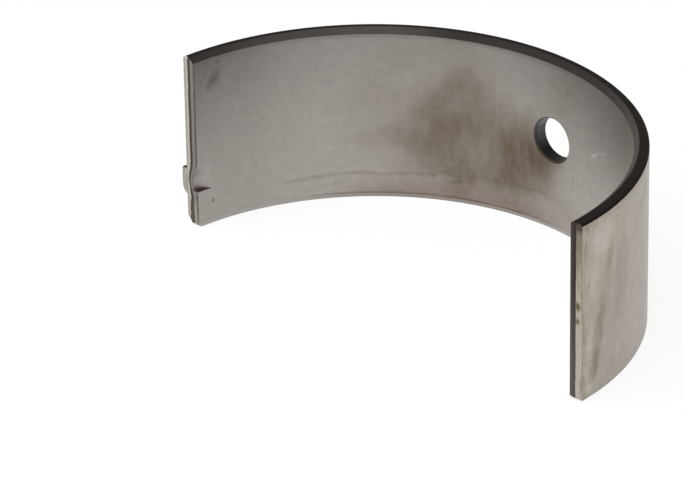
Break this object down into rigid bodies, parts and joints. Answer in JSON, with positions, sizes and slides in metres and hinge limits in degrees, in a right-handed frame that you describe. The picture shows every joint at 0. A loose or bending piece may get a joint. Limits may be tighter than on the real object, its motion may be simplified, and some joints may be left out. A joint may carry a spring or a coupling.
{
  "type": "engine bearing shell",
  "caption": "Half-round plain bearing shell, a thin steel strip with a soft lining, an oil hole at the crown and a pressed locating tang at one parting face.",
  "frame": {"origin": "on the bearing axis, at the middle of the shell's length", "axes": "+Z along the bearing axis towards the side with the wide chamfer, +Y to the crown of the arc, with the parting faces towards -X and +X"},
  "size_m": [0.0588, 0.0279, 0.0202],
  "materials": {
    "shell": "satin lining and brushed steel back, with oil stains"
  },
  "bodies": {
    "root": {"bearing_shell": "shell"}
  },
  "joints": []
}
